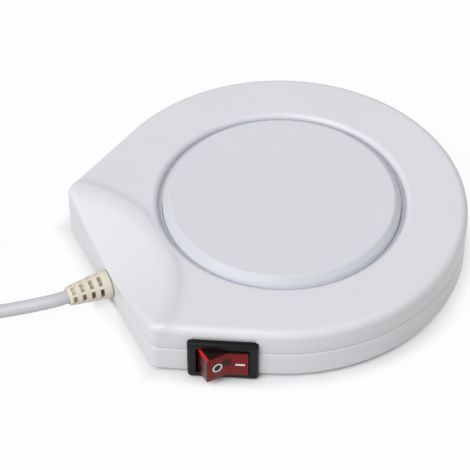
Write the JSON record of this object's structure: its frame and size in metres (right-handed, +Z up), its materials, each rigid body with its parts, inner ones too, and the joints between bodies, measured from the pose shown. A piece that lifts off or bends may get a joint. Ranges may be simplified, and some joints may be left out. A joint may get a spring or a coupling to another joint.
{
  "type": "electric mug warmer",
  "caption": "Flat round mug warmer with a straight rear, a raised heating plate in a ring groove, a red rocker switch and a mains cord with a slotted strain relief.",
  "frame": {"origin": "on the table under the middle of the heating plate, at the undersides of the feet, within 0.6 mm of the bottom centre of the box without the cord", "axes": "+Z up, -X toward the rear wall where the cord leaves, +X toward the round front, -Y toward the side with the switch"},
  "size_m": [0.2546, 0.1368, 0.0195],
  "materials": {
    "shell": "satin white moulding",
    "plate": "smooth pale grey-white coating",
    "switch_body": "black",
    "rocker": "translucent red",
    "marks": "white print",
    "lamp": "small neon lamp",
    "steel": "zinc plated",
    "brass": "plain",
    "mica": "pressed mica",
    "silicone": "heat-proof silicone",
    "sleeve": "woven glass sleeve",
    "wire_brown": "soft insulation",
    "wire_blue": "soft insulation",
    "wire_black": "soft insulation",
    "wire_white": "heat-proof insulation",
    "cap": "crimp cap",
    "relief": "cream",
    "cord": "smooth pale grey",
    "plug": "moulded",
    "pin_metal": "nickel plated",
    "pin_plastic": "pin sleeves",
    "foot": "dark rubber"
  },
  "bodies": {
    "base": {"top_cover": "shell", "bottom_cover": "shell", "heater_plate": "plate", "plate_seal": "silicone", "mica_upper": "mica", "heater_card": "mica", "heater_ribbon": "steel", "mica_lower": "mica", "clamp_plate": "steel", "clamp_washer": "steel", "clamp_nut": "steel", "plate_screws": "steel", "thermostat": "steel", "fuse_sleeve": "sleeve", "thermal_fuse": "steel", "switch_housing": "switch_body", "contact_arm": "brass", "switch_blades": "brass", "spade_terminals": "steel", "crimp_cap": "cap", "live_lead": "wire_brown", "switched_lead": "wire_black", "fuse_lead": "wire_white", "heater_lead": "wire_white", "neutral_core": "wire_blue", "neutral_lead": "wire_blue", "lamp_lead": "wire_black", "cord_clamp": "plug", "clamp_screws": "steel", "cord_inside": "cord", "strain_relief": "relief", "mains_cord": "cord", "cord_coil": "cord", "cord_tail": "cord", "plug_body": "plug", "pin_sleeves": "pin_plastic", "plug_pins": "pin_metal", "rubber_feet": "foot", "cover_screws": "steel"},
    "rocker": {"switch_rocker": "rocker", "rocker_marks": "marks", "switch_lamp": "lamp", "detent_plunger": "brass", "detent_spring": "steel"}
  },
  "joints": [
    {"name": "rocker_hinge", "type": "hinge", "parent": "base", "child": "rocker", "pos_m": [-0.03961, -0.04217, 0.0074], "axis": [0, 0, 1], "range_deg": [-34, 0]}
  ]
}
